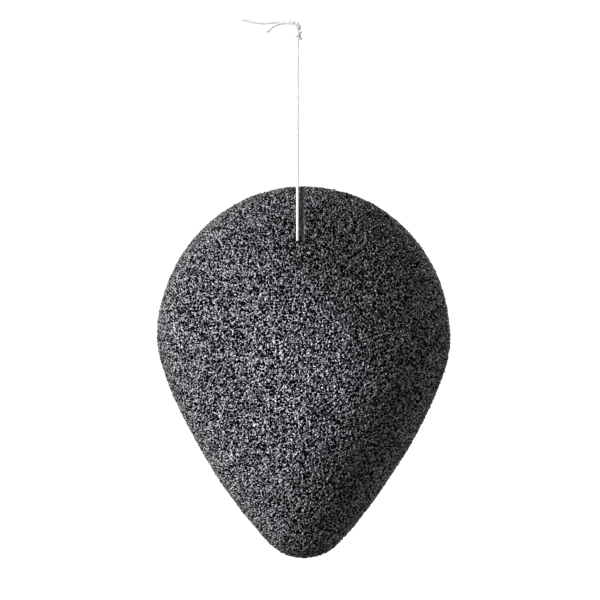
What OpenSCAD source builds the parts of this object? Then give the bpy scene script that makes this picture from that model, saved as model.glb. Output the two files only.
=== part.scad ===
// Teardrop konjac sponge that hangs on a thin cotton cord.
// The cord passes through a small hole near the round end, and both of its strands are tied in one
// overhand knot, so that they close a loop to hang it by.
// Millimetres. +Z is up along the hanging cord and -Y is the domed front. The origin is inside the
// top of the loop, at the underside of the knot, where a hook or a finger carries it.

/* [Sponge outline] */
// Height of the sponge from its round end to its tip
sponge_h = 90; // [84:1:100]
// Width of the sponge across its widest line
sponge_w = 70.9; // [65:0.1:76]
// Distance of the widest line below the round end
shoulder_drop = 36.5; // [34:0.1:38]
// How far the flanks run straight down from the widest line before they bend in
shoulder_reach = 11.5; // [9:0.1:15]
// Radius of the rounded tip
tip_r = 11.2; // [10:0.1:13]
// How far the flanks follow the slope of the tip before they bend out
tip_reach = 17; // [14:0.5:19]
// Slope of the flanks at the tip, measured from the vertical
flank_angle = 46; // [43:0.5:49]

/* [Sponge thickness] */
// Distance of the thickest point below the round end
crown_drop = 38.3; // [35:0.1:41]
// Rise of the front dome over the rim
front_rise = 16; // [13:0.5:18]
// Rise that the back dome would have without its flat
back_rise = 11; // [10:0.5:13]
// Distance of the flat back behind the rim
back_flat = 9; // [7:0.5:9.5]

/* [Hole] */
// Distance of the hole below the round end
hole_drop = 13.1; // [12:0.1:15]
// Distance from the cord to the middle of the sponge, sideways
hole_shift = 1.6; // [0:0.1:2]
// Gap all round between the cord and the hole
hole_gap = 0.05; // [0.03:0.01:0.08]

/* [Cord] */
// Diameter of the cotton cord
cord_d = 0.55; // [0.45:0.01:0.6]
// Height from the hole up to the underside of the knot
hang_len = 48.6; // [46:0.1:60]
// How far the cord stands out of the foam before it turns up
mouth_out = 0.6; // [0.5:0.05:0.9]
// Radius of the cord's turn outside the foam
turn_r = 0.5; // [0.4:0.05:0.7]
// Length of straight cord just under the knot
knot_lead = 0.6; // [0.5:0.05:1]
// Gap between the two strands where they enter the knot
strand_gap = 0.03; // [0.02:0.01:0.05]

/* [Knot] */
// Diameter of the cord where the knot squeezes it
knot_cord_d = 0.38; // [0.34:0.01:0.4]
// Spacing of the strands inside the knot
knot_pitch = 0.37; // [0.35:0.01:0.4]

/* [Hidden] */

foam_colour = [0.15, 0.16, 0.17];
cord_colour = [0.95, 0.95, 0.93];

// Counts of points along the outline, of rings on the domes and of sides on the cord
top_points = 22;
flank_points = 9;
tip_points = 8;
front_rings = 13;
back_rings = 7;
cord_sides = 8;
round_fn = 48;
bend_steps = 6;
// Length of cord between two rings, in diameters
ring_share = 3;
// One overrun for the cut of the hole
cut_over = 1;

// Places that follow from the sizes. The sponge's own points count from its widest line.
half_w = sponge_w / 2;
widest_z = hole_drop - shoulder_drop - hang_len;
tip_z = shoulder_drop + tip_r - sponge_h;
crown_z = shoulder_drop - crown_drop;
hole_share = 1 - hole_drop / crown_drop;
flat_share = sqrt(1 - pow(back_flat / back_rise, 2));
front_mouth = front_rise * sqrt(1 - pow(hole_share, 2));
back_mouth = min(back_flat, back_rise * sqrt(1 - pow(hole_share, 2)));
front_out = front_mouth + mouth_out;
back_out = back_mouth + mouth_out;
strand_y = (cord_d + strand_gap) / 2;

// Outline of the sponge
// The round end is half an ellipse. Each flank is one cubic curve that leaves the ellipse straight
// down and meets the circle of the tip at its own slope.
flank_start = [half_w, 0];
flank_end = [tip_r * cos(flank_angle), tip_z - tip_r * sin(flank_angle)];
flank_way = [sin(flank_angle), cos(flank_angle)];
flank = [flank_start, flank_start - [0, shoulder_reach], flank_end + tip_reach * flank_way, flank_end];

function cubic(p, t) =
    pow(1 - t, 3) * p[0] + 3 * t * pow(1 - t, 2) * p[1] + 3 * t * t * (1 - t) * p[2] + pow(t, 3) * p[3];
function mirrored(points) = [for (i = [len(points) - 1:-1:0]) [-points[i].x, points[i].y]];

right_flank = [for (i = [0:flank_points - 1]) cubic(flank, i / flank_points)];
tip_turn = 180 - 2 * flank_angle;
tip_arc = [
    for (i = [0:tip_points])
        let (a = -flank_angle - tip_turn * i / tip_points) [tip_r * cos(a), tip_z + tip_r * sin(a)]
];
left_flank = [for (i = [1:flank_points - 1]) mirrored(right_flank)[i - 1]];
top_arc = [
    for (i = [0:top_points - 1])
        let (a = 180 - 180 * i / top_points) [half_w * cos(a), shoulder_drop * sin(a)]
];
outline = concat(right_flank, tip_arc, left_flank, top_arc);

// Rings of the sponge
// Every ring is the outline drawn in toward the crown, and its depth follows a quarter of an
// ellipse. The back dome stops at the flat.
front_table = [
    for (i = [0:front_rings]) let (a = 90 * i / front_rings) [cos(a), -front_rise * sin(a)]
];
flat_angle = acos(flat_share);
back_table = [
    for (i = [1:back_rings]) let (a = flat_angle * i / back_rings) [cos(a), back_rise * sin(a)]
];
function ring(share, depth) = [
    for (p = outline) [hole_shift + share * p.x, depth, widest_z + crown_z + share * (p.y - crown_z)]
];
function band(a, b, n) = [
    for (j = [0:n - 1]) let (k = (j + 1) % n) each [[a + j, b + j, a + k], [a + k, b + j, b + k]]
];

// Cord
// A smooth route is the cubic spline of its points, which starts and ends on the first and last.
function spline_point(p, i, t) =
    (pow(1 - t, 3) * p[i] + (3 * pow(t, 3) - 6 * t * t + 4) * p[i + 1]
     + (1 + 3 * t + 3 * t * t - 3 * pow(t, 3)) * p[i + 2] + pow(t, 3) * p[i + 3]) / 6;
function smooth_route(points, steps) =
    let (last = len(points) - 1)
    let (p = concat([2 * points[0] - points[1]], points, [2 * points[last] - points[last - 1]]))
    concat([for (i = [0:last - 1], s = [0:steps - 1]) spline_point(p, i, s / steps)], [points[last]]);

up = [0, 0, 1];
function unit(v) = v / norm(v);
function headings(p, ends) = [
    for (i = [0:len(p) - 1])
        i == 0 ? unit(ends[0]) : i == len(p) - 1 ? unit(ends[1]) : unit(p[i + 1] - p[i - 1])
];
function across(v, n) = unit(n - v * (v * n));
function side_ways(h, first) = [
    for (i = 0, n = across(h[0], first); i < len(h);
         i = i + 1, n = i < len(h) ? across(h[i], n) : n) n
];

// One closed tube along the route p, with its own diameter at each point. Its two ends are square to
// the ways given in ends, so that it meets its neighbours face to face.
module tube(p, widths, ends) {
    h = headings(p, ends);
    n = side_ways(h, [1, 0, 0]);
    count = len(p);
    points = [
        for (i = [0:count - 1])
            let (m = cross(h[i], n[i]))
            for (j = [0:cord_sides - 1])
                let (a = 360 * j / cord_sides)
                p[i] + widths[i] / 2 * (cos(a) * n[i] + sin(a) * m)
    ];
    last = (count - 1) * cord_sides;
    start_cap = [for (j = [1:cord_sides - 2]) [0, j, j + 1]];
    end_cap = [for (j = [1:cord_sides - 2]) [last, last + j + 1, last + j]];
    walls = [for (i = [0:count - 2]) each band(i * cord_sides, (i + 1) * cord_sides, cord_sides)];
    polyhedron(points, concat(start_cap, walls, end_cap));
}

// Half of the hanging loop, drawn on the front side
// It leaves the hole level, turns up round a short arc and runs straight to the knot. The arc ends
// where its own direction points at the straight lead under the knot.
function strand_route(out) =
    let (centre = [-out, turn_r - hang_len], goal = [-strand_y, -knot_lead], way = goal - centre)
    let (lean = atan2(way.x, way.y) + asin(turn_r / norm(way)))
    let (bend = [
        for (i = [0:bend_steps])
            let (a = (90 + lean) * i / bend_steps) centre - turn_r * [sin(a), cos(a)]
    ])
    let (foot = bend[bend_steps], runs = ceil(norm(goal - foot) / (ring_share * cord_d)))
    let (run = [for (i = [1:runs - 1]) foot + (goal - foot) * i / runs])
    let (lead = smooth_route([run[runs - 2], goal, [-strand_y, 0]], tail_steps))
    let (flat = concat(bend, [for (i = [0:runs - 3]) run[i]], lead))
    [for (p = flat) [0, p.x, p.y]];

// Turning points of one strand of the knot, round the knot's middle
// Each is an angle, a distance from the upright middle line and a height. Distances and heights are
// shares of the pitch. The strand climbs inside, folds over, winds once round all four inner
// strands, folds back in and climbs out. The other strand is the same curve turned over.
knot_shares = [
    [45, 1, -2.4], [45, 1, -1.6], [65, 1.05, -1], [115, 1.05, -0.2], [165, 1, 0.5],
    [208, 1.2, 0.9], [235, 1.7, 0.8], [262, 2.15, 0.3], [290, 2.2, -0.05], [325, 2.2, -0.35],
    [360, 2.2, -0.6], [395, 2.2, -0.9], [430, 2.2, -1.25], [460, 2.2, -1.55], [495, 2.2, -1.85],
    [530, 2.1, -2.2], [560, 1.8, -2.6], [585, 1.1, -2.5],
    [605, 0.8, -1.6], [637, 1, -0.8], [682, 1.05, 0], [725, 1, 0.8], [755, 1, 1.6], [765, 1, 2.4]
];
// Height of the knot's ends over its middle, as a share of the pitch, and rings for each point
knot_end_share = 3.4;
knot_steps = 3;
knot_mid = [strand_y, knot_end_share * knot_pitch];
knot_top = 2 * knot_mid.y;

// The curve's two ends lie over the strands under the knot and under the tails above it
knot_turns = [
    for (k = knot_shares) let (r = knot_pitch * k[1]) [-r * cos(k[0]), r * sin(k[0]), knot_pitch * k[2]]
];
knot_points = concat(
    [[-strand_y, strand_y, -knot_mid.y]], knot_turns, [[-strand_y, strand_y, knot_mid.y]]
);
knot_curve = smooth_route(knot_points, knot_steps);
knot_last = len(knot_curve) - 1;
knot_fade = 2 * knot_steps;
knot_widths = [
    for (i = [0:knot_last])
        let (t = min(1, min(i, knot_last - i) / knot_fade)) cord_d + (knot_cord_d - cord_d) * t
];
rear_curve = [for (p = knot_curve) p + [knot_mid.x, 0, knot_mid.y]];
fore_curve = [for (i = [knot_last:-1:0]) let (p = knot_curve[i]) [p.x + knot_mid.x, -p.y, knot_mid.y - p.z]];

// How deep the two strands press into each other in the tight knot, and the least gap that one
// strand leaves to its own next turn. Both are measured on the points of the curves.
echo(knot_press = knot_cord_d - min([for (p = rear_curve, q = fore_curve) norm(p - q)]));
knot_apart = ceil(2 * len(knot_shares) / knot_steps);
echo(knot_gap = min([
    for (i = [0:knot_last], k = [i + knot_apart:knot_last]) norm(rear_curve[i] - rear_curve[k])
]) - knot_cord_d);

// Routes of the two tails above the knot, chosen on the spot
long_points = [
    [0, strand_y, knot_top], [0.1, 0.3, 3.1], [0, 0.3, 3.8], [-0.6, 0.3, 4.4], [-1.6, 0.3, 4.6],
    [-3, 0.3, 4.6], [-4.6, 0.2, 4.5], [-6.4, 0.1, 4.3], [-8.5, 0, 4.1], [-10.3, 0, 4.4], [-13, 0, 4.9]
];
short_points = [
    [0, -strand_y, knot_top], [0, -0.3, 3], [-0.4, -0.3, 3.6], [-1.2, -0.3, 3.9], [-2.6, -0.3, 4.1],
    [-4, -0.3, 4.1], [-5, -0.4, 3.8], [-6, -0.4, 3.3], [-7.2, -0.5, 2.3]
];
tail_steps = 2;

// Foam body, domed in front, flatter behind, with the cord's hole through its upper part
module sponge_body() {
    rings = concat([for (i = [front_rings - 1:-1:0]) front_table[i]], back_table);
    n = len(outline);
    crown = len(rings) * n;
    flat = crown - n;
    points = concat(
        [for (r = rings) each ring(r[0], r[1])], [[hole_shift, -front_rise, widest_z + crown_z]]
    );
    front = [for (j = [0:n - 1]) [j, (j + 1) % n, crown]];
    walls = [for (i = [0:len(rings) - 2]) each band(i * n, (i + 1) * n, n)];
    back = [for (j = [1:n - 2]) [flat, flat + j + 1, flat + j]];
    color(foam_colour)
    difference() {
        polyhedron(points, concat(front, walls, back));
        translate([0, back_out + cut_over, -hang_len])
        rotate([90, 0, 0])
        cylinder(h = front_out + back_out + 2 * cut_over, d = cord_d + 2 * hole_gap, $fn = round_fn);
    }
}

// Straight piece of the cord inside the hole, on which the sponge swings
module cord_through_sponge() {
    color(cord_colour)
    translate([0, back_out, -hang_len])
    rotate([90, 0, 0])
    cylinder(h = front_out + back_out, d = cord_d, $fn = round_fn);
}

module front_strand() {
    route = strand_route(front_out);
    color(cord_colour)
    tube(route, [for (p = route) cord_d], [[0, -1, 0], up]);
}

module back_strand() {
    route = [for (p = strand_route(back_out)) [p.x, -p.y, p.z]];
    color(cord_colour)
    tube(route, [for (p = route) cord_d], [[0, 1, 0], up]);
}

// Overhand knot of both strands
module knot() {
    color(cord_colour) {
        tube(rear_curve, knot_widths, [up, up]);
        tube(fore_curve, knot_widths, [up, up]);
    }
}

module long_tail() {
    route = smooth_route(long_points, tail_steps);
    color(cord_colour)
    tube(route, [for (p = route) cord_d], [up, [-1, 0, 0]]);
}

module short_tail() {
    route = smooth_route(short_points, tail_steps);
    color(cord_colour)
    tube(route, [for (p = route) cord_d], [up, [-1, 0, -1]]);
}

sponge_body();
cord_through_sponge();
front_strand();
back_strand();
knot();
long_tail();
short_tail();
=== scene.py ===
# %% [markdown]
# # A teardrop konjac sponge on its cotton cord
# The real thing has two pieces. A block of charcoal foam is domed in front and flatter behind, and
# a thin white cord runs through a hole near its round end. Both strands of the cord go up and are
# tied in one overhand knot, which leaves two short tails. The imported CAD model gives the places,
# and this lesson dresses it: first the camera, then the cord, the foam, the finishes and the studio.
# %% Load the frame
import math

import bpy
import numpy as np
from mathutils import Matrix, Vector


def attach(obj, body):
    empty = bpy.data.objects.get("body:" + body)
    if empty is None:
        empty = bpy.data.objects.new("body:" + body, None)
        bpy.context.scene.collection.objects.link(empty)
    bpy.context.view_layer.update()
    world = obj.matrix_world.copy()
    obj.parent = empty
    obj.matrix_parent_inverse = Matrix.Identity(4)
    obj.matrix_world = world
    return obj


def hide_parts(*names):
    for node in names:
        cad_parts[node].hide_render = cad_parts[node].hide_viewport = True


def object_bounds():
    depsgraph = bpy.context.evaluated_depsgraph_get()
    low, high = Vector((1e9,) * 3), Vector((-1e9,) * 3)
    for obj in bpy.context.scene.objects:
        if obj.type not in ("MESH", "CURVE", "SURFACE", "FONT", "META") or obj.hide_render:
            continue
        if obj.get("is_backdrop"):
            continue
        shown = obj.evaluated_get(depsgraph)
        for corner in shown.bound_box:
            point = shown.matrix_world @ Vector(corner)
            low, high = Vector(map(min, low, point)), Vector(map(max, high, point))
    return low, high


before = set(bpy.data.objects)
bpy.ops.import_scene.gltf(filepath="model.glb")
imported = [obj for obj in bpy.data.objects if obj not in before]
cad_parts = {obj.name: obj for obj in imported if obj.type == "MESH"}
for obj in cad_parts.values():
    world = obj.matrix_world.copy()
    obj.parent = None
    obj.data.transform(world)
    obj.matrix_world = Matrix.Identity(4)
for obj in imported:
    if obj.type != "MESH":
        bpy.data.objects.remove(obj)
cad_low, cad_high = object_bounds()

MM = 0.001


# %% [markdown]
# ## Camera
# The picture was taken straight from the front, at the sponge's own height, so the rim shows its
# true outline. A long lens far away keeps the dome from looking swollen. The picture is square and
# 145.6 mm wide at the rim, and its middle lies a little right of the cord and above the widest line.
# %% Place the camera
PICTURE_WIDTH = 145.6 * MM
PICTURE_MIDDLE = Vector((0.61, 0, -62.95)) * MM
LENS = 200
SENSOR = 36
CLIP_NEAR, CLIP_FAR = 0.05, 20

distance = PICTURE_WIDTH * LENS / SENSOR
bpy.ops.object.camera_add(
    location=PICTURE_MIDDLE - Vector((0, distance, 0)), rotation=(math.radians(90), 0, 0)
)
camera = bpy.context.object
camera.data.lens = LENS
camera.data.sensor_width = SENSOR
camera.data.clip_start = CLIP_NEAR
camera.data.clip_end = CLIP_FAR
bpy.context.scene.camera = camera
print("camera stands", round(distance, 3), "m in front of the rim")


# %% [markdown]
# ## Where the cord runs
# A limp cord is drawn as one smooth line before it gets any thickness. The sizes below are those of
# the CAD part, in millimetres. Each half starts in the middle of the foam, leaves its own mouth of
# the hole, turns up in a small bend and runs straight to the knot, because the sponge's weight pulls
# it tight. A cubic spline through a few points gives the knot and the tails, where the cord lies in
# free curves.
# %% Sizes of the cord
CORD_D = 0.55
HANG_LEN = 48.6
FRONT_OUT, BACK_OUT = 12.649, 8.884
TURN_R = 0.5
STRAND_Y = 0.29
KNOT_LEAD = 0.6
KNOT_CORD_D = 0.38
KNOT_PITCH = 0.37
KNOT_HALF = 3.4 * KNOT_PITCH
print("cord is", CORD_D, "mm thick and hangs", HANG_LEN, "mm from knot to hole")

# %% The two strands
LEVEL_POINTS, BEND_POINTS, RUN_POINTS, JOIN_STEPS = 9, 9, 40, 4


def smooth_route(points, steps):
    """The cubic spline of these points, which starts and ends on the first and the last."""
    p = np.array(points, float)
    p = np.concatenate([[2 * p[0] - p[1]], p, [2 * p[-1] - p[-2]]])
    route = []
    for i in range(len(p) - 3):
        for t in np.arange(steps) / steps:
            shares = (1 - t) ** 3, 3 * t**3 - 6 * t**2 + 4, 1 + 3 * t + 3 * t**2 - 3 * t**3, t**3
            route.append(sum(share * q for share, q in zip(shares, p[i : i + 4])) / 6)
    return np.array(route + [p[-2]])


def strand_route(out, side):
    """From the middle of the foam through one mouth and up to the knot. side is -1 in front."""
    level = [[0, y, -HANG_LEN] for y in np.linspace(0, out, LEVEL_POINTS)]
    middle, goal = np.array([out, TURN_R - HANG_LEN]), np.array([STRAND_Y, -KNOT_LEAD])
    way = goal - middle
    lean = math.atan2(-way[0], way[1]) + math.asin(TURN_R / np.hypot(*way))
    angles = np.linspace(0, math.pi / 2 + lean, BEND_POINTS)[1:]
    bend = [[0, middle[0] + TURN_R * math.sin(a), middle[1] - TURN_R * math.cos(a)] for a in angles]
    foot = np.array(bend[-1])
    top = np.array([0, *goal])
    run = [foot + (top - foot) * t for t in np.linspace(0, 1, RUN_POINTS)[1:-1]]
    into_knot = smooth_route([run[-1], top, [0, STRAND_Y, 0]], JOIN_STEPS).tolist()
    route = np.array(level + bend + run + into_knot)
    route[:, 1] *= side
    return route


front_strand = strand_route(FRONT_OUT, -1)
back_strand = strand_route(BACK_OUT, 1)
print("strands end at", front_strand[-1].round(3), back_strand[-1].round(3))


# %% [markdown]
# ## The overhand knot
# Both strands lie side by side and are tied as one. Each climbs inside the knot, folds over, winds
# once round all four inner strands, folds back in and climbs out, and the second strand is the same
# curve turned over. It is easiest to write down from above: an angle, a distance from the upright
# middle line and a height, in shares of the strands' spacing.
# %% Turning points of the knot
knot_shares = [
    (45, 1, -2.4), (45, 1, -1.6), (65, 1.05, -1), (115, 1.05, -0.2), (165, 1, 0.5),
    (208, 1.2, 0.9), (235, 1.7, 0.8), (262, 2.15, 0.3), (290, 2.2, -0.05), (325, 2.2, -0.35),
    (360, 2.2, -0.6), (395, 2.2, -0.9), (430, 2.2, -1.25), (460, 2.2, -1.55), (495, 2.2, -1.85),
    (530, 2.1, -2.2), (560, 1.8, -2.6), (585, 1.1, -2.5),
    (605, 0.8, -1.6), (637, 1, -0.8), (682, 1.05, 0), (725, 1, 0.8), (755, 1, 1.6), (765, 1, 2.4),
]
KNOT_STEPS = 6
SQUEEZE_STEPS = 2 * KNOT_STEPS
turns = [
    KNOT_PITCH * np.array([-d * math.cos(math.radians(a)), d * math.sin(math.radians(a)), h])
    for a, d, h in knot_shares
]
knot_curve = smooth_route(
    [(-STRAND_Y, STRAND_Y, -KNOT_HALF), *turns, (-STRAND_Y, STRAND_Y, KNOT_HALF)], KNOT_STEPS
)
rear_turns = knot_curve + [STRAND_Y, 0, KNOT_HALF]
fore_turns = knot_curve[::-1] * [1, -1, -1] + [STRAND_Y, 0, KNOT_HALF]
steps_in = np.minimum(np.arange(len(knot_curve)), np.arange(len(knot_curve))[::-1])
knot_widths = CORD_D + (KNOT_CORD_D - CORD_D) * np.minimum(1, steps_in / SQUEEZE_STEPS)
print("knot is", round(2 * KNOT_HALF, 2), "mm high, drawn with", len(knot_curve), "points")

# %% Tails above the knot
KNOT_TOP = 2 * KNOT_HALF
TAIL_STEPS = 5
long_tail = smooth_route([
    (0, STRAND_Y, KNOT_TOP), (0.5, 0.25, 2.8), (0.65, 0.2, 3.2), (0.4, 0.2, 3.8), (-0.1, 0.2, 4.3),
    (-1.1, 0.2, 4.6), (-2.8, 0.2, 4.65), (-4.6, 0.2, 4.5), (-6.4, 0.1, 4.35), (-8.5, 0, 4.15),
    (-10.3, 0, 4.4), (-13, 0, 4.95),
], TAIL_STEPS)
short_tail = smooth_route([
    (0, -STRAND_Y, KNOT_TOP), (-0.05, -0.3, 2.9), (-0.35, -0.3, 3.4), (-0.8, -0.3, 3.9),
    (-1.7, -0.3, 4.2), (-3, -0.3, 4.25), (-4.3, -0.35, 4.1), (-5.4, -0.4, 3.7),
    (-6.3, -0.4, 3.15), (-7.3, -0.5, 2.15),
], TAIL_STEPS)


def join_routes(*parts):
    """One route and its widths, in metres, from parts that meet end to end."""
    points, widths = [], []
    for route, width in parts:
        width = np.broadcast_to(width, len(route))
        first = 1 if points else 0
        points += list(route[first:])
        widths += list(width[first:])
    return np.array(points) * MM, np.array(widths) * MM


def route_length(route):
    return float(np.linalg.norm(np.diff(route, axis=0), axis=1).sum())


front_route, front_widths = join_routes(
    (front_strand, CORD_D), (fore_turns, knot_widths), (short_tail, CORD_D)
)
back_route, back_widths = join_routes(
    (back_strand, CORD_D), (rear_turns, knot_widths), (long_tail, CORD_D)
)
print("front half", round(route_length(front_route) / MM, 1), "mm, back half",
      round(route_length(back_route) / MM, 1), "mm")


# %% [markdown]
# ## The cord itself
# Cotton cord is three plies laid round each other. A round tube with a striped material would look
# flat up close, so the plies are real: a ring with three lobes is screwed into a straight rope, and
# a Curve modifier then bends the rope along its route. The curve's radius squeezes it in the knot.
# Before the bend, each point's place on the straight rope is kept, and the cotton's fibres follow
# it.
# %% Helpers for selecting and applying
def deselect():
    if bpy.context.object and bpy.context.object.mode != "OBJECT":
        bpy.ops.object.mode_set(mode="OBJECT")
    bpy.ops.object.select_all(action="DESELECT")


def make_active(piece):
    deselect()
    piece.select_set(True)
    bpy.context.view_layer.objects.active = piece


def apply_modifier(piece, kind, name, **settings):
    """Adds one modifier with these settings and applies it at once."""
    make_active(piece)
    modifier = piece.modifiers.new(name, kind)
    for key, value in settings.items():
        setattr(modifier, key, value)
    bpy.ops.object.modifier_apply(modifier=modifier.name)


def places(piece):
    """The piece's points as an array."""
    flat = np.empty(len(piece.data.vertices) * 3)
    piece.data.vertices.foreach_get("co", flat)
    return flat.reshape(-1, 3)


def put_places(piece, points):
    piece.data.vertices.foreach_set("co", points.astype(np.float32).ravel())
    piece.data.update()


def keep_vectors(piece, name, values):
    """Stores one vector for each point, for a material to read."""
    made = piece.data.attributes.new(name, "FLOAT_VECTOR", "POINT")
    made.data.foreach_set("vector", values.astype(np.float32).ravel())


def keep_values(piece, name, values):
    """Stores one number for each point, for a material or a modifier to read."""
    made = piece.data.attributes.new(name, "FLOAT", "POINT")
    made.data.foreach_set("value", values.astype(np.float32))


print("helpers are ready")

# %% Lay a straight three-ply rope and bend it along its route
PLIES = 3
PLY_R, PLY_AWAY = 0.7, 0.3
ROPE_SHARE = 1.1
RING_POINTS = 24
LAY_LENGTH = 2.4 * MM
RING_GAP = 0.09 * MM


def lobed(angle):
    """Distance from the rope's middle to its surface, in shares of its radius."""
    off = (angle + math.pi / PLIES) % (2 * math.pi / PLIES) - math.pi / PLIES
    reach = math.sqrt(PLY_R**2 - (PLY_AWAY * math.sin(off)) ** 2)
    return ROPE_SHARE * (PLY_AWAY * math.cos(off) + reach)


def lay_rope(name, length):
    deselect()
    bpy.ops.mesh.primitive_circle_add(vertices=RING_POINTS, radius=CORD_D * MM / 2)
    rope = bpy.context.object
    rope.name = name
    bpy.ops.transform.rotate(
        value=math.radians(90), orient_axis="Y", center_override=(0, 0, 0)
    )
    bpy.ops.object.transform_apply(location=True, rotation=True, scale=True)
    for v in rope.data.vertices:
        v.co *= lobed(math.atan2(v.co.z, v.co.y))
    rings = round(length / RING_GAP)
    apply_modifier(
        rope, "SCREW", "lay the plies", axis="X", angle=2 * math.pi * length / LAY_LENGTH,
        screw_offset=length, steps=rings, render_steps=rings, use_smooth_shade=True,
    )
    bpy.ops.object.mode_set(mode="EDIT")
    bpy.ops.mesh.select_all(action="SELECT")
    bpy.ops.mesh.fill_holes(sides=0)
    bpy.ops.mesh.select_all(action="SELECT")
    bpy.ops.mesh.normals_make_consistent(inside=False)
    bpy.ops.object.mode_set(mode="OBJECT")
    keep_vectors(rope, "along_rope", places(rope))
    return rope


def bend_along(rope, route, widths):
    line = bpy.data.curves.new("line", "CURVE")
    line.dimensions = "3D"
    line.use_radius = True
    spline = line.splines.new("POLY")
    spline.points.add(len(route) - 1)
    for point, place, width in zip(spline.points, route, widths):
        point.co = (*place, 1)
        point.radius = width / (CORD_D * MM)
    guide = bpy.data.objects.new("guide", line)
    bpy.context.scene.collection.objects.link(guide)
    apply_modifier(rope, "CURVE", "bend", object=guide, deform_axis="POS_X")
    bpy.data.objects.remove(guide)


front_cord = lay_rope("cord_front_half", route_length(front_route))
bend_along(front_cord, front_route, front_widths)
back_cord = lay_rope("cord_back_half", route_length(back_route))
bend_along(back_cord, back_route, back_widths)
for piece in (front_cord, back_cord):
    print(piece.name, len(piece.data.polygons), "faces, from", places(piece).min(0).round(4),
          "to", places(piece).max(0).round(4))


# %% [markdown]
# ## Loose fibres
# The tails were cut and have begun to fray, and cotton is never quite smooth along its length. Each
# fibre is a thin bent line with a little thickness, and a seeded random draw sets where it points,
# so that every run gives the same cord.
# %% Fray the ends and raise a light fuzz
FRAY_COUNT, FRAY_LENGTH, FRAY_R = 22, 1.1 * MM, 0.035 * MM
FUZZ_COUNT, FUZZ_LENGTH, FUZZ_R = 110, 0.4 * MM, 0.01 * MM
FRAY_SPREAD, FRAY_ROOT, FRAY_ASIDE = 0.28, 0.3, 0.2
FUZZ_ROOT, FUZZ_SLANT = 0.2, 1.5
FIBRE_STEPS, FIBRE_TAPER = 4, 0.6
LEAST_BOW, MOST_BOW = 0.05, 0.35
LEAST_LENGTH, MOST_FRAY, MOST_FUZZ = 0.5, 1, 1.2
MOUTH_GAP, FIRST_FREE_POINT = 0.5 * MM, 13
SEED = 7
rng = np.random.default_rng(SEED)


def unit(v):
    return v / np.linalg.norm(v)


def add_fibres(cord, starts, ways, lengths, radius):
    """Fibres that leave their starts along their ways and bend off a little, joined to the cord."""
    line = bpy.data.curves.new("fibres", "CURVE")
    line.dimensions = "3D"
    line.bevel_depth = radius
    line.bevel_resolution = 0
    line.use_fill_caps = True
    for start, way, length in zip(starts, ways, lengths):
        spline = line.splines.new("POLY")
        spline.points.add(FIBRE_STEPS)
        bow = unit(np.cross(way, rng.normal(size=3))) * length * rng.uniform(LEAST_BOW, MOST_BOW)
        for i, point in enumerate(spline.points):
            t = i / FIBRE_STEPS
            point.co = (*(start + way * length * t + bow * t * t), 1)
            point.radius = 1 - FIBRE_TAPER * t
    fibres = bpy.data.objects.new("fibres", line)
    bpy.context.scene.collection.objects.link(fibres)
    make_active(fibres)
    bpy.ops.object.convert(target="MESH")
    keep_vectors(fibres, "along_rope", places(fibres))
    cord.select_set(True)
    bpy.context.view_layer.objects.active = cord
    bpy.ops.object.join()


for cord, route, start in ((front_cord, front_route, FRONT_OUT), (back_cord, back_route, BACK_OUT)):
    tip, heading = route[-1], unit(route[-1] - route[-2])
    ways = [unit(heading + rng.normal(scale=FRAY_SPREAD, size=3)) for _ in range(FRAY_COUNT)]
    root = tip - heading * FRAY_ROOT * MM
    starts = [root + unit(np.cross(heading, w)) * rng.uniform(0, FRAY_ASIDE) * MM for w in ways]
    lengths = FRAY_LENGTH * rng.uniform(LEAST_LENGTH, MOST_FRAY, FRAY_COUNT)
    add_fibres(cord, starts, ways, lengths, FRAY_R)
    free = np.flatnonzero(np.abs(route[:, 1]) < start * MM - MOUTH_GAP)
    free = free[free >= FIRST_FREE_POINT]
    spots = rng.choice(free, FUZZ_COUNT)
    ways, starts = [], []
    for i in spots:
        along = unit(route[min(i + 1, len(route) - 1)] - route[i - 1])
        out = unit(np.cross(along, rng.normal(size=3)))
        place = route[i] + (route[i] - route[i - 1]) * rng.uniform(-1, 0)
        starts.append(place + out * FUZZ_ROOT * MM)
        ways.append(unit(out + along * rng.uniform(-FUZZ_SLANT, FUZZ_SLANT)))
    lengths = FUZZ_LENGTH * rng.uniform(LEAST_LENGTH, MOST_FUZZ, FUZZ_COUNT)
    add_fibres(cord, starts, ways, lengths, FUZZ_R)
    print(cord.name, "now has", len(cord.data.polygons), "faces")


# %% [markdown]
# ## Shape of the foam
# The sponge is moulded, and every line of it follows from one outline: half an ellipse for the round
# end, two flanks and a small circle for the tip. That is a natural Bezier curve with six points. It
# is made a mesh, and its ring is then extruded again and again, each time drawn in toward the crown
# and moved forward or back, as the depth of the dome asks. The steps follow a quarter of an ellipse.
# %% Draw the outline
HALF_W, SHOULDER_DROP, SHOULDER_REACH = 35.45 * MM, 36.5 * MM, 11.5 * MM
TIP_R, TIP_REACH, FLANK_ANGLE = 11.2 * MM, 17 * MM, math.radians(46)
HOLE_SHIFT, WIDEST_Z = 1.6 * MM, -72 * MM
SPONGE_H = 90 * MM
CROWN_DROP, FRONT_RISE, BACK_RISE, BACK_FLAT = 38.3 * MM, 16 * MM, 11 * MM, 9 * MM
ROUND = 4 / 3 * math.tan(math.pi / 8)
OUTLINE_STEPS = 16

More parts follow.
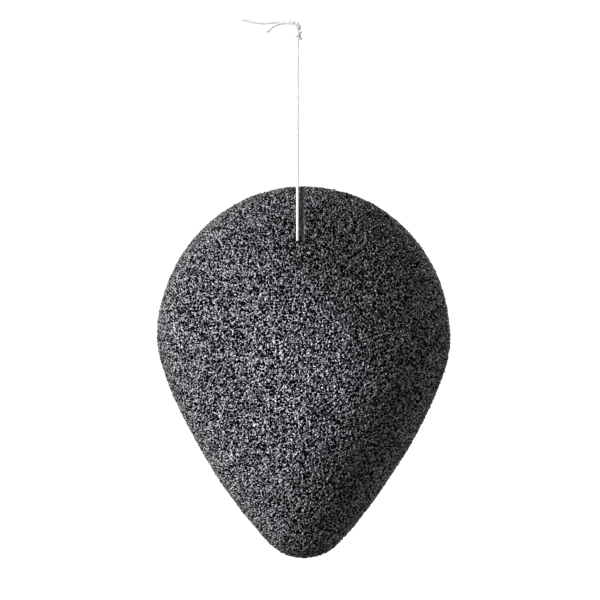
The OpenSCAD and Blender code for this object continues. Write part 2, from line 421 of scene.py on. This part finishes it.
tip_z = SHOULDER_DROP + TIP_R - SPONGE_H
flank_end = np.array([TIP_R * math.cos(FLANK_ANGLE), tip_z - TIP_R * math.sin(FLANK_ANGLE)])
flank_way = np.array([math.sin(FLANK_ANGLE), math.cos(FLANK_ANGLE)])
tip_reach = TIP_R * 4 / 3 * math.tan((math.pi / 2 - FLANK_ANGLE) / 4)
knots = [
    ((0, SHOULDER_DROP), (-ROUND * HALF_W, SHOULDER_DROP), (ROUND * HALF_W, SHOULDER_DROP)),
    ((HALF_W, 0), (HALF_W, ROUND * SHOULDER_DROP), (HALF_W, -SHOULDER_REACH)),
    (flank_end, flank_end + TIP_REACH * flank_way, flank_end - tip_reach * flank_way),
    ((0, tip_z - TIP_R), (tip_reach, tip_z - TIP_R), (-tip_reach, tip_z - TIP_R)),
]
mirror = np.array([-1, 1])
knots += [tuple(np.array(p) * mirror for p in (k[0], k[2], k[1])) for k in (knots[2], knots[1])]

line = bpy.data.curves.new("sponge_foam", "CURVE")
line.dimensions = "3D"
line.resolution_u = OUTLINE_STEPS
spline = line.splines.new("BEZIER")
spline.bezier_points.add(len(knots) - 1)
spline.use_cyclic_u = True
for point, knot in zip(spline.bezier_points, knots):
    seats = [(HOLE_SHIFT + x, 0, WIDEST_Z + z) for x, z in knot]
    point.handle_left_type = point.handle_right_type = "FREE"
    point.co, point.handle_left, point.handle_right = seats
foam = bpy.data.objects.new("sponge_foam", line)
bpy.context.scene.collection.objects.link(foam)
make_active(foam)
bpy.ops.object.convert(target="MESH")
ring_count = len(foam.data.vertices)
outline_height = float(np.ptp(places(foam)[:, 2]))
print("outline has", ring_count, "points and is", round(outline_height / MM, 2), "mm high")

# %% Raise the two domes
crown = (HOLE_SHIFT, 0, WIDEST_Z + SHOULDER_DROP - CROWN_DROP)
FRONT_RINGS, BACK_RINGS = 16, 9
FRONT_LAST, BACK_LAST = math.radians(86), math.asin(BACK_FLAT / BACK_RISE)


def raise_dome(rise, last_angle, rings):
    """Extrudes the selected ring toward the crown in steps along a quarter of an ellipse."""
    angles = np.linspace(0, last_angle, rings + 1)
    for before, now in zip(angles, angles[1:]):
        bpy.ops.mesh.extrude_edges_move()
        share = math.cos(now) / math.cos(before)
        bpy.ops.transform.resize(value=(share, 1, share), center_override=crown)
        bpy.ops.transform.translate(value=(0, rise * (math.sin(now) - math.sin(before)), 0))


bpy.ops.object.mode_set(mode="EDIT")
bpy.ops.mesh.select_all(action="SELECT")
raise_dome(-FRONT_RISE, FRONT_LAST, FRONT_RINGS)
bpy.ops.mesh.edge_face_add()
bpy.ops.mesh.select_all(action="DESELECT")
bpy.ops.object.mode_set(mode="OBJECT")
for e in foam.data.edges:
    e.select = max(e.vertices) < ring_count
bpy.ops.object.mode_set(mode="EDIT")
bpy.ops.mesh.select_mode(type="EDGE")
raise_dome(BACK_RISE, BACK_LAST, BACK_RINGS)
bpy.ops.mesh.edge_face_add()
bpy.ops.mesh.select_all(action="SELECT")
bpy.ops.mesh.normals_make_consistent(inside=False)
bpy.ops.object.mode_set(mode="OBJECT")
print("lofted foam has", len(foam.data.polygons), "faces, depth",
      [round(float(v) / MM, 2) for v in (places(foam)[:, 1].min(), places(foam)[:, 1].max())])

# %% Bore the hole for the cord
BORE_D, BORE_SIDES, DRILL_LENGTH = 0.9 * MM, 32, 40 * MM
deselect()
bpy.ops.mesh.primitive_cylinder_add(
    vertices=BORE_SIDES, radius=BORE_D / 2, depth=DRILL_LENGTH, location=(0, 0, -HANG_LEN * MM),
    rotation=(math.radians(90), 0, 0),
)
drill = bpy.context.object
bpy.ops.object.transform_apply(location=True, rotation=True, scale=True)
apply_modifier(foam, "BOOLEAN", "bore", operation="DIFFERENCE", object=drill, solver="EXACT")
bpy.data.objects.remove(drill)
print("bored foam has", len(foam.data.polygons), "faces")


# %% [markdown]
# ## A fine, even skin
# Pores less than a millimetre apart need a mesh several times finer, with faces of one size
# everywhere. Subdividing the loft would leave long faces at the rim and tiny ones at the crown. A
# voxel remesh gives even faces from any closed shape.
# %% Remesh the foam
VOXEL = 0.16 * MM
apply_modifier(foam, "REMESH", "even skin", mode="VOXEL", voxel_size=VOXEL, adaptivity=0)
skin = places(foam)
print("even skin has", len(foam.data.polygons), "faces")


# %% [markdown]
# ## What the hands and the cord did to the foam
# Real foam isn't a perfect loft. Its surface swells and sinks a little, small lumps make its outline
# uneven, the cord has drawn a small funnel into both mouths of its hole, and a crease runs from each
# mouth to the round end, where the cord presses the foam when the sponge is wet and heavy. Sculpting
# would do it too, but a seeded pattern and soft pushes along the surface's own normal, each with a
# rounded fall-off, give the same skin every time.
# %% Swells and lumps
def normals_of(piece):
    flat = np.empty(len(piece.data.vertices) * 3, np.float32)
    piece.data.vertex_normals.foreach_get("vector", flat)
    return flat.reshape(-1, 3).astype(float)


def ruffle(name, size, detail, strength):
    """Pushes the foam in and out by a soft cloud pattern of this size."""
    cloud = bpy.data.textures.new(name, "CLOUDS")
    cloud.noise_scale = size
    cloud.noise_depth = detail
    apply_modifier(
        foam, "DISPLACE", name, texture=cloud, texture_coords="LOCAL",
        strength=strength, mid_level=0.5,
    )


facing = normals_of(foam)
ruffle("swell", size=14 * MM, detail=1, strength=0.5 * MM)
ruffle("lumps", size=0.45 * MM, detail=0, strength=0.4 * MM)
moved = np.linalg.norm(places(foam) - skin, axis=1)
print("swells and lumps move the skin by up to", round(float(moved.max()) / MM, 2), "mm")

# %% Funnels and creases
FUNNEL_DEPTH, FUNNEL_R = 0.55 * MM, 1.1 * MM
CREASE_DEPTH, CREASE_R = 0.35 * MM, 0.85 * MM
CREASE_X_FRONT, CREASE_X_BACK = 1.05 * MM, -0.2 * MM
ABOVE_HOLE, OUT_OF_RIM = (-50 * MM, -47.5 * MM), (1 * MM, 6 * MM)
PORE_LIFT = 0.15 * MM
WALL_SHARE = 0.6


def ease(values, low, high):
    """0 below low, 1 above high, and a smooth rise between."""
    t = np.clip((values - low) / (high - low), 0, 1)
    return t * t * (3 - 2 * t)


def bell(values, width):
    return np.exp(-((values / width) ** 2))


x, y, z = skin.T
from_bore = np.hypot(x, z + HANG_LEN * MM)
bore_wall = from_bore < BORE_D * WALL_SHARE
funnel = FUNNEL_DEPTH * bell(from_bore, FUNNEL_R) * ~bore_wall
crease_x = np.where(y < 0, CREASE_X_FRONT, CREASE_X_BACK)
crease = bell(x - crease_x, CREASE_R) * ease(z, *ABOVE_HOLE) * ~bore_wall
depth = funnel + CREASE_DEPTH * crease * ease(-y, *OUT_OF_RIM) - PORE_LIFT
put_places(foam, places(foam) - facing * depth[:, None])
print("deepest push", round(float(depth.max()) / MM, 2), "mm")


# %% [markdown]
# ## Closed places, and painted light and shade
# The mould left the pores near the rim slightly closed, and the cord has closed them in the creases.
# The raised middle of the front is painted paler, a painted light up to a soft ridge that curves
# back above and below, and the upper right is painted darker, a painted shade. Weight paint by hand
# would do, but a few formulas of the place need no brush. Each is kept as one number for each point,
# which the pores and the colours read.
# %% Keep where the skin is closed, and where light and shade are painted
RIM_FRONT, RIM_BACK = (-6.5 * MM, -2.5 * MM), (5.5 * MM, 8 * MM)
RIDGE_X, RIDGE_BEND, RIDGE_LEAST_X = 6.5 * MM, 20, -10 * MM
LIGHT_PAINT_Z, LIGHT_PAINT_HEIGHT, LIGHT_PAINT_RIGHT, LIGHT_PAINT_LEFT = -82 * MM, 24 * MM, 9 * MM, 26 * MM
SHADE_PAINT, SHADE_PAINT_X, SHADE_PAINT_WIDTH, SHADE_PAINT_Z, SHADE_PAINT_HEIGHT = 0.4, 12 * MM, 15 * MM, -50 * MM, 14 * MM
rim = ease(y, *RIM_FRONT) * (1 - ease(y, *RIM_BACK))
# This mask is painted light on the raised middle of the front, falling off into painted shade past
# the ridge.
from_ridge = x - np.maximum(RIDGE_X - RIDGE_BEND * (z - LIGHT_PAINT_Z) ** 2, RIDGE_LEAST_X)
painted_light_shade = bell(from_ridge, np.where(from_ridge > 0, LIGHT_PAINT_RIGHT, LIGHT_PAINT_LEFT)) * bell(z - LIGHT_PAINT_Z, LIGHT_PAINT_HEIGHT)
# This patch is painted shade on the upper right of the front.
painted_shade_patch = SHADE_PAINT * bell(x - SHADE_PAINT_X, SHADE_PAINT_WIDTH) * bell(z - SHADE_PAINT_Z, SHADE_PAINT_HEIGHT)
keep_values(foam, "rim", rim)
keep_values(foam, "painted_light_shade", (painted_light_shade - painted_shade_patch) * (y < 0))
keep_values(foam, "crease", crease)
print("rim covers", round(float(rim.mean()), 2), "of the skin, the damp part takes off up to",
      round(float(painted_shade_patch.max()), 2))


# %% [markdown]
# ## Pores
# The foam is a froth of bubbles that broke open. In a solid froth each bubble is a cell, and the
# cells' walls are where two bubbles met: that is what a Voronoi pattern computes. Geometry Nodes
# can read it in space, so the pores don't care how the skin curves. Each point sinks along its
# normal by how far it is from the nearest wall, each cell has its own depth, and the pits are deeper
# at the rim, where they are seen from the side. A second, finer froth roughens the walls. The
# point's place before the push is kept, so that the colours can follow the same pattern exactly.
# %% Helpers for node trees
def feed(tree, socket, value):
    """Links another node's output to the socket, or sets the plain value on it."""
    if isinstance(value, bpy.types.NodeSocket):
        tree.links.new(value, socket)
    else:
        socket.default_value = value


def add_node(tree, kind, settings=None, **inputs):
    """Adds a node. An input is named as in Blender, or _ and its number."""
    made = tree.nodes.new(kind)
    for key, value in (settings or {}).items():
        setattr(made, key, value)
    for key, value in inputs.items():
        feed(tree, made.inputs[int(key[1:]) if key[0] == "_" else key.replace("_", " ")], value)
    return made


def math_node(tree, operation, *values, kind="ShaderNodeMath"):
    made = add_node(tree, kind, {"operation": operation})
    for socket, value in zip(made.inputs, values):
        feed(tree, socket, value)
    return made.outputs[0]


def vector_node(tree, operation, *values):
    return math_node(tree, operation, *values, kind="ShaderNodeVectorMath")


def scaled(tree, vector, factor):
    scale = {"operation": "SCALE"}
    return add_node(tree, "ShaderNodeVectorMath", scale, _0=vector, Scale=factor).outputs[0]


def ramp_value(tree, value, low, high, to_low=0.0, to_high=1.0):
    made = add_node(
        tree, "ShaderNodeMapRange", {"interpolation_type": "SMOOTHSTEP"},
        Value=value, From_Min=low, From_Max=high, To_Min=to_low, To_Max=to_high,
    )
    return made.outputs["Result"]


print("node helpers are ready")

# %% The pattern of the pores
PORE_PITCH, FINE_PITCH = 0.8 * MM, 0.4 * MM
WOBBLE_SIZE, WOBBLE = 1.3 * MM, 0.7 * MM
LIP, PIT_LIP_END, FINE_LIP_END = 0.06, 0.2, 0.3
DRAW_LOW, DRAW_HIGH, SHALLOWEST = 0.15, 0.75, 0.3
RIM_CLOSED, CLOSES_BY = 0.1, 0.85


def froth(tree, place, pitch, feature):
    return add_node(
        tree, "ShaderNodeTexVoronoi", {"voronoi_dimensions": "3D", "feature": feature},
        Vector=place, Scale=1 / pitch, Randomness=1.0,
    )


def noise(tree, place, size, detail):
    return add_node(tree, "ShaderNodeTexNoise", Vector=place, Scale=1 / size, Detail=detail).outputs


def pore_pattern(tree, place, rim, crease):
    """How far a place is sunk by its pore and by the fine froth, each from 0 to 1."""
    wobble = noise(tree, place, WOBBLE_SIZE, detail=1.0)["Color"]
    warped = vector_node(tree, "MULTIPLY_ADD", wobble, (WOBBLE,) * 3, place)
    to_wall = froth(tree, warped, PORE_PITCH, "DISTANCE_TO_EDGE").outputs["Distance"]
    own_draw = froth(tree, warped, PORE_PITCH, "F1").outputs["Color"]
    fine_wall = froth(tree, warped, FINE_PITCH, "DISTANCE_TO_EDGE").outputs["Distance"]
    fine = ramp_value(tree, fine_wall, LIP, FINE_LIP_END)
    open_share = ramp_value(tree, own_draw, DRAW_LOW, DRAW_HIGH, SHALLOWEST, 1.0)
    pit = math_node(tree, "MULTIPLY", ramp_value(tree, to_wall, LIP, PIT_LIP_END), open_share)
    closed = math_node(tree, "MAXIMUM", math_node(tree, "MULTIPLY", rim, RIM_CLOSED), crease)
    still_open = math_node(tree, "MULTIPLY_ADD", closed, -CLOSES_BY, 1.0)
    return [math_node(tree, "MULTIPLY", sunk, still_open) for sunk in (pit, fine)]


print("pores are", PORE_PITCH / MM, "mm apart, the fine froth", FINE_PITCH / MM, "mm")

# %% Press the pores
PORE_DEPTH, RIM_DEEPER, FINE_DEPTH = 0.6 * MM, 0.6, 0.12 * MM
group = bpy.data.node_groups.new("press the pores", "GeometryNodeTree")
group.interface.new_socket("Geometry", in_out="INPUT", socket_type="NodeSocketGeometry")
group.interface.new_socket("Geometry", in_out="OUTPUT", socket_type="NodeSocketGeometry")
come_in = group.nodes.new("NodeGroupInput").outputs[0]
place = group.nodes.new("GeometryNodeInputPosition").outputs[0]
normal = group.nodes.new("GeometryNodeInputNormal").outputs[0]
masks = [
    add_node(group, "GeometryNodeInputNamedAttribute", {"data_type": "FLOAT"}, Name=name).outputs[0]
    for name in ("rim", "crease")
]
pit, fine = pore_pattern(group, place, *masks)
full_depth = math_node(group, "MULTIPLY_ADD", masks[0], -RIM_DEEPER * PORE_DEPTH, -PORE_DEPTH)
pit_depth = math_node(group, "MULTIPLY", pit, full_depth)
sink = math_node(group, "MULTIPLY_ADD", fine, -FINE_DEPTH, pit_depth)
push = scaled(group, normal, sink)
kept = add_node(
    group, "GeometryNodeStoreNamedAttribute", {"data_type": "FLOAT_VECTOR", "domain": "POINT"},
    Geometry=come_in, Name="before_push", Value=place,
).outputs[0]
shape = add_node(group, "GeometryNodeSetPosition", Geometry=kept, Offset=push).outputs[0]
go_out = group.nodes.new("NodeGroupOutput")
group.links.new(shape, go_out.inputs[0])
apply_modifier(foam, "NODES", "pores", node_group=group)
bpy.ops.object.shade_smooth()
print("pored foam has", len(foam.data.polygons), "faces")


# %% [markdown]
# ## A flat map of the skin
# A game engine or a viewer reads colours from a flat picture, so the skin needs a UV map. Blender's
# own projections would cut this rough skin into thousands of scraps. A dome is flattened better the
# way a map shows the pole: each place keeps its direction from the crown, and its distance is the
# one walked over the dome. The front is one island, the back another beside it with its tip up, and
# the wall of the hole is unrolled as a narrow strip.
# %% Flatten the two domes and the hole
SHEET = 155 * MM
MEAN_R = 36 * MM
FRONT_AT, BACK_AT = (46 * MM, 106 * MM), (106 * MM, 44 * MM)
STRIP_AT = (151 * MM, 20 * MM)
BELOW_RIM = -0.1
WALK_STEPS = 200


def walked_over(heights, rise, last_angle):
    """The distance from the crown over the dome, as a share of the distance straight across."""
    angles = np.linspace(BELOW_RIM, last_angle, WALK_STEPS)
    steps = np.hypot(MEAN_R * np.diff(np.cos(angles)), rise * np.diff(np.sin(angles)))
    from_cap = np.concatenate([np.cumsum(steps[::-1])[::-1], [0]]) + MEAN_R * math.cos(last_angle)
    at = np.arcsin(np.clip(heights / rise, math.sin(BELOW_RIM), math.sin(last_angle)))
    return np.interp(at, angles, from_cap) / (MEAN_R * np.cos(at))


corners = np.empty(len(foam.data.loops), np.int32)
foam.data.loops.foreach_get("vertex_index", corners)
corners = corners.reshape(-1, 4)
middles = skin[corners].mean(axis=1)
across = skin[corners][:, :, [0, 2]] - [crown[0], crown[2]]
heights = skin[corners][:, :, 1]
front = across * walked_over(-heights, FRONT_RISE, FRONT_LAST)[:, :, None] + FRONT_AT
back = across * walked_over(heights, BACK_RISE, BACK_LAST)[:, :, None]
back = back * [1, -1] + BACK_AT
round_bore = np.arctan2(skin[corners][:, :, 2] + HANG_LEN * MM, skin[corners][:, :, 0])
first = round_bore[:, :1]
round_bore = first + (round_bore - first + math.pi) % (2 * math.pi) - math.pi
strip = np.stack([round_bore * BORE_D / 2, heights], axis=2) + STRIP_AT
in_bore = bore_wall[corners].all(axis=1)[:, None, None]
flat = np.where(in_bore, strip, np.where(middles[:, None, 1:2] < 0, front, back)) / SHEET
foam.data.uv_layers.new(name="OFBake")
foam.data.uv_layers["OFBake"].uv.foreach_set("vector", flat.astype(np.float32).ravel())
print("map covers", flat.reshape(-1, 2).min(0).round(3), "to", flat.reshape(-1, 2).max(0).round(3))


# %% [markdown]
# ## Finishes
# Cotton is matte and almost white, lets light through its thin strands and has a soft sheen from its
# loose fibres. The foam's walls are dark, with short pale dashes along their crests that are painted
# glints, and its pits are painted nearly black, a painted shade for the little light that comes back
# from them. Its rim is smoother, and is painted darker and browner, a painted shade with a brown
# tint for light through the thin edge. A photo wrapped round it would stretch, so each material is a
# pattern of nodes that reads what was kept on the mesh, and a pit is painted dark exactly where the
# surface sinks.
# %% Cotton
COTTON_DARK, COTTON_PALE = (0.8, 0.8, 0.795), (0.86, 0.86, 0.855)
FIBRE_SIZE, FIBRE_STRETCH = 0.06 * MM, 0.25
COTTON_LOOK = {
    "Roughness": 0.9, "Sheen Weight": 0.3,
    "Subsurface Weight": 1.0, "Subsurface Scale": 0.3 * MM, "Subsurface Radius": (1, 1, 1),
}


def new_material(name):
    made = bpy.data.materials.new(name)
    made.use_nodes = True
    made.node_tree.nodes.clear()
    tree = made.node_tree
    shader = tree.nodes.new("ShaderNodeBsdfPrincipled")
    add_node(tree, "ShaderNodeOutputMaterial", Surface=shader.outputs[0])
    return made, tree, shader


def colour_ramp(tree, value, stops):
    made = add_node(tree, "ShaderNodeValToRGB", Fac=value)
    ramp = made.color_ramp
    while len(ramp.elements) < len(stops):
        ramp.elements.new(0.5)
    for element, (at, colour) in zip(ramp.elements, stops):
        element.position = at
        element.color = (*colour, 1)
    return made.outputs["Color"]


cotton, tree, shader = new_material("white_cotton")
along = add_node(tree, "ShaderNodeAttribute", {"attribute_name": "along_rope"}).outputs["Vector"]
stretch = add_node(tree, "ShaderNodeMapping", Vector=along, Scale=(FIBRE_STRETCH, 1, 1)).outputs[0]
fibre = noise(tree, stretch, FIBRE_SIZE, detail=3.0)["Fac"]
shade = colour_ramp(tree, fibre, [(0.3, COTTON_DARK), (0.6, COTTON_PALE)])
tree.links.new(shade, shader.inputs["Base Color"])
for name, value in COTTON_LOOK.items():
    shader.inputs[name].default_value = value
fuzz = add_node(tree, "ShaderNodeBump", Height=fibre, Strength=0.5, Distance=0.03 * MM)
tree.links.new(fuzz.outputs[0], shader.inputs["Normal"])
for piece in (front_cord, back_cord):
    piece.data.materials.clear()
    piece.data.materials.append(cotton)
print("cotton has", len(tree.nodes), "nodes")

# %% Charcoal foam: walls, painted pit shade and painted glints
# The pits' colour is painted shade: nearly black where the hollows get little light.
STRUT_COLOUR, PIT_SHADE_COLOUR = (0.056, 0.058, 0.073), (0.002, 0.002, 0.0035)
# Painted glints: pale dashes on the crests stand in for light caught by the damp fibre.
GLINT_COLOUR = (0.94, 0.958, 1.0)
# The fine froth's hollows take part of the painted pit shade.
STRUT_END, PIT_START, FINE_SHADE = 0.2, 0.38, 0.95
CREST_START, CREST_END = 0.2, 0.45
GLINT_LOW, GLINT_HIGH = 0.485, 0.505
PATCH_SIZE, SPECK_SIZE = 0.8 * MM, 0.4 * MM
PATCH_LOW, PATCH_HIGH, PATCH_DARK, PATCH_PALE = 0.3, 0.7, 0.5, 1.5
# The walls' level under the painted shade, away from the painted light on the middle.
PAINTED_SHADE_LEVEL = 0.5


def as_vector(tree, value):
    """A vector with the same number three times."""
    return add_node(tree, "ShaderNodeCombineXYZ", X=value, Y=value, Z=value).outputs[0]


charcoal, tree, shader = new_material("charcoal_foam")
reads = {
    name: add_node(tree, "ShaderNodeAttribute", {"attribute_name": name})
    for name in ("rim", "painted_light_shade", "crease", "before_push")
}
spot = reads["before_push"].outputs["Vector"]
rim_mask, crease_mask, painted_shading_mask = (reads[n].outputs["Fac"] for n in ("rim", "crease", "painted_light_shade"))
pit, fine = pore_pattern(tree, spot, rim_mask, crease_mask)
patches = noise(tree, spot, PATCH_SIZE, detail=2.0)["Fac"]
specks = noise(tree, spot, SPECK_SIZE, detail=1.0)["Fac"]
# The hollows of the pores and of the fine froth are painted dark: painted shade.
sunk = math_node(tree, "MAXIMUM", pit, math_node(tree, "MULTIPLY", fine, FINE_SHADE))
stops = [(0.0, STRUT_COLOUR), (STRUT_END, STRUT_COLOUR), (PIT_START, PIT_SHADE_COLOUR)]
wall = colour_ramp(tree, sunk, stops)
varied = ramp_value(tree, patches, PATCH_LOW, PATCH_HIGH, PATCH_DARK, PATCH_PALE)
wall = scaled(tree, wall, varied)
crest = ramp_value(tree, sunk, CREST_START, CREST_END, 1.0, 0.0)
# The pale dashes are painted glints along the crests.
glint = math_node(tree, "MULTIPLY", crest, ramp_value(tree, specks, GLINT_LOW, GLINT_HIGH))
wall = vector_node(tree, "MULTIPLY_ADD", as_vector(tree, glint), GLINT_COLOUR, wall)
# Painted light and shade: the walls are painted full bright on the raised middle and darker around
# it.
shade = math_node(tree, "MULTIPLY_ADD", painted_shading_mask, 1 - PAINTED_SHADE_LEVEL, PAINTED_SHADE_LEVEL)
wall = vector_node(tree, "MULTIPLY", wall, as_vector(tree, shade))
print("walls and pits take", len(tree.nodes), "nodes")

# %% Charcoal foam: painted rim shade, painted cord shadow and damp shine
# The rim is painted darker and browner: painted shade, with a brown tint for light through the thin
# edge.
RIM_SHADE_TINT, RIM_SHADE_SHARE = (0.53, 0.495, 0.45, 1), 0.8
# Along the crease the foam is painted dark: a painted shadow of the cord that lies in it.
CORD_SHADOW_COLOUR = (0.022, 0.0195, 0.025, 1)
WET_ROUGH, PIT_ROUGH, CLOSED_ROUGH, SHINE = 0.22, 0.95, 0.9, 0.1
WET_TO, ROUGH_FROM, RIM_SMOOTH = 0.05, 0.4, 0.5
SPECK_HEIGHT, BUMP_STRENGTH, BUMP_DEPTH = 1.2, 0.8, 0.14 * MM
rim_shade_share = math_node(tree, "MULTIPLY", rim_mask, RIM_SHADE_SHARE)
multiply = {"data_type": "RGBA", "blend_type": "MULTIPLY"}
# The rim's colour is multiplied by the painted shade tint.
rim_shaded = add_node(tree, "ShaderNodeMix", multiply, _0=rim_shade_share, _6=wall, _7=RIM_SHADE_TINT).outputs[2]
# The crease is painted with the painted shadow of the cord.
skin_colour = add_node(
    tree, "ShaderNodeMix", {"data_type": "RGBA"}, _0=crease_mask, _6=rim_shaded, _7=CORD_SHADOW_COLOUR
).outputs[2]
tree.links.new(skin_colour, shader.inputs["Base Color"])
smooth = math_node(tree, "MAXIMUM", crease_mask, math_node(tree, "MULTIPLY", rim_mask, RIM_SMOOTH))
closed_rough = math_node(tree, "MULTIPLY", smooth, CLOSED_ROUGH)
open_rough = ramp_value(tree, pit, WET_TO, ROUGH_FROM, WET_ROUGH, PIT_ROUGH)
rough = math_node(tree, "MAXIMUM", open_rough, closed_rough)
tree.links.new(rough, shader.inputs["Roughness"])
shader.inputs["Specular IOR Level"].default_value = SHINE
speck_height = math_node(tree, "MULTIPLY", specks, SPECK_HEIGHT)
height = math_node(tree, "MULTIPLY_ADD", sunk, -1.0, speck_height)
bumps = add_node(tree, "ShaderNodeBump", Height=height, Strength=BUMP_STRENGTH, Distance=BUMP_DEPTH)
tree.links.new(bumps.outputs[0], shader.inputs["Normal"])
foam.data.materials.clear()
foam.data.materials.append(charcoal)
print("foam has", len(tree.nodes), "nodes")


# %% [markdown]
# ## Studio
# The picture has a pure white ground and is lit from the left. The floor lies well below the
# hanging sponge, and it and the wall behind are one sweep with a rounded fold, because a corner
# would show as a line. The sweep and the world are white only for what the camera sees, straight
# or in a reflection, so the ground is white without lighting the sponge.
# %% Floor and backdrop in one sweep
FLOOR_Z, FLOOR_SIZE, FLOOR_Y = -0.19, 4, -0.6
WALL_HEIGHT, FOLD_R, FOLD_STEPS, REAR_Y = 2.5, 0.5, 12, 1
PAPER, PAPER_GLOW = (0.2, 0.2, 0.2, 1), 0.95


def seen_rays(tree):
    """1 for a ray from the camera, a reflection or glass, and 0 for one that carries light."""
    rays = tree.nodes.new("ShaderNodeLightPath").outputs
    seen = rays["Is Camera Ray"]
    for name in ("Is Glossy Ray", "Is Transmission Ray"):
        seen = math_node(tree, "MAXIMUM", seen, rays[name])
    return seen


deselect()
bpy.ops.mesh.primitive_plane_add(size=FLOOR_SIZE, location=(0, FLOOR_Y, FLOOR_Z))
sweep = bpy.context.object
sweep.name = "studio_sweep"
bpy.ops.object.transform_apply(location=True, rotation=True, scale=True)
bpy.ops.object.mode_set(mode="EDIT")
bpy.ops.mesh.select_all(action="DESELECT")
bpy.ops.object.mode_set(mode="OBJECT")
for e in sweep.data.edges:
    e.select = all(sweep.data.vertices[i].co.y > REAR_Y for i in e.vertices)
bpy.ops.object.mode_set(mode="EDIT")
bpy.ops.mesh.extrude_edges_move(TRANSFORM_OT_translate={"value": (0, 0, WALL_HEIGHT)})
bpy.ops.mesh.select_all(action="DESELECT")
bpy.ops.object.mode_set(mode="OBJECT")
for e in sweep.data.edges:
    ends = [sweep.data.vertices[i].co for i in e.vertices]
    e.select = all(p.y > REAR_Y and p.z < 0 for p in ends)
bpy.ops.object.mode_set(mode="EDIT")
bpy.ops.mesh.bevel(offset=FOLD_R, segments=FOLD_STEPS)
bpy.ops.object.mode_set(mode="OBJECT")
bpy.ops.object.shade_smooth()
paper = bpy.data.materials.new("white_paper")
paper.use_nodes = True
tree = paper.node_tree
tree.nodes.clear()
strength = math_node(tree, "MULTIPLY", seen_rays(tree), PAPER_GLOW)
glow = add_node(tree, "ShaderNodeEmission", Color=(1, 1, 1, 1), Strength=strength)
matte = add_node(tree, "ShaderNodeBsdfDiffuse", Color=PAPER)
both = add_node(tree, "ShaderNodeAddShader", _0=glow.outputs[0], _1=matte.outputs[0])
add_node(tree, "ShaderNodeOutputMaterial", Surface=both.outputs[0])
sweep.data.materials.append(paper)
sweep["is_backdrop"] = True
print("floor lies", round((cad_low.z - FLOOR_Z) / MM), "mm under the tip")


# %% [markdown]
# ## Light
# The shading of the front shows one fairly small lamp on the left, well to the side and a little
# above the sponge. A faint lamp above it softens the top, a weak one from the right shows the dark
# edge, and a warm one from behind tints the upper rim. The room's own light is dim and cool. One
# big dome of light would be simpler, but it would flatten the pores.
# %% Lamps and the room's own light
LAMP_TARGET, LAMP_AWAY = Vector((0, 0, -0.07)), 1.0
WARM = (1, 0.9, 0.78)
AIR_LEVEL, AIR_TINT = 0.05, (0.86, 0.93, 1.15, 1)


def add_lamp(name, azimuth, elevation, size, level):
    """A square soft lamp. level is what a white matte surface that faces it would show."""
    a, e = math.radians(azimuth), math.radians(elevation)
    back = Vector((math.sin(a) * math.cos(e), -math.cos(a) * math.cos(e), math.sin(e)))
    deselect()
    bpy.ops.object.light_add(type="AREA", location=LAMP_TARGET + back * LAMP_AWAY)
    lamp = bpy.context.object
    lamp.name = name
    lamp.data.shape = "SQUARE"
    lamp.data.size = size
    lamp.data.energy = level * (math.pi * LAMP_AWAY) ** 2
    lamp.rotation_euler = back.to_track_quat("Z", "Y").to_euler()
    return lamp


add_lamp("key_left", azimuth=-64, elevation=14, size=0.12, level=1.7)
add_lamp("soft_above", azimuth=-30, elevation=50, size=0.4, level=0.15)
add_lamp("edge_right", azimuth=100, elevation=8, size=0.4, level=0.42)
add_lamp("warm_back", azimuth=150, elevation=42, size=0.4, level=0.8).data.color = WARM
world = bpy.data.worlds.new("studio_air")
bpy.context.scene.world = world
world.use_nodes = True
tree = world.node_tree
tree.nodes.clear()
seen = seen_rays(tree)
strength = ramp_value(tree, seen, 0.0, 1.0, AIR_LEVEL, 1.0)
mix = {"data_type": "RGBA"}
tint = add_node(tree, "ShaderNodeMix", mix, _0=seen, _6=AIR_TINT, _7=(1, 1, 1, 1)).outputs[2]
air = add_node(tree, "ShaderNodeBackground", Color=tint, Strength=strength)
add_node(tree, "ShaderNodeOutputWorld", Surface=air.outputs[0])
bpy.context.scene.view_settings.view_transform = "Standard"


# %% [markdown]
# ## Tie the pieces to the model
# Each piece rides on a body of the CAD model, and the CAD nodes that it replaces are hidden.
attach(foam, "sponge")
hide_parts("sponge_body")
for cord in (front_cord, back_cord):
    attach(cord, "cord")
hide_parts("front_strand", "short_tail", "cord_through_sponge", "knot")
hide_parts("back_strand", "long_tail")
deselect()
print("declared", [piece.name for piece in (foam, front_cord, back_cord)])

# %% Print how far the outer corners moved
low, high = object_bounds()
for name, side in (("low", low - cad_low), ("high", high - cad_high)):
    print(name, "corner moved by", [round(v / MM, 2) for v in side], "mm")
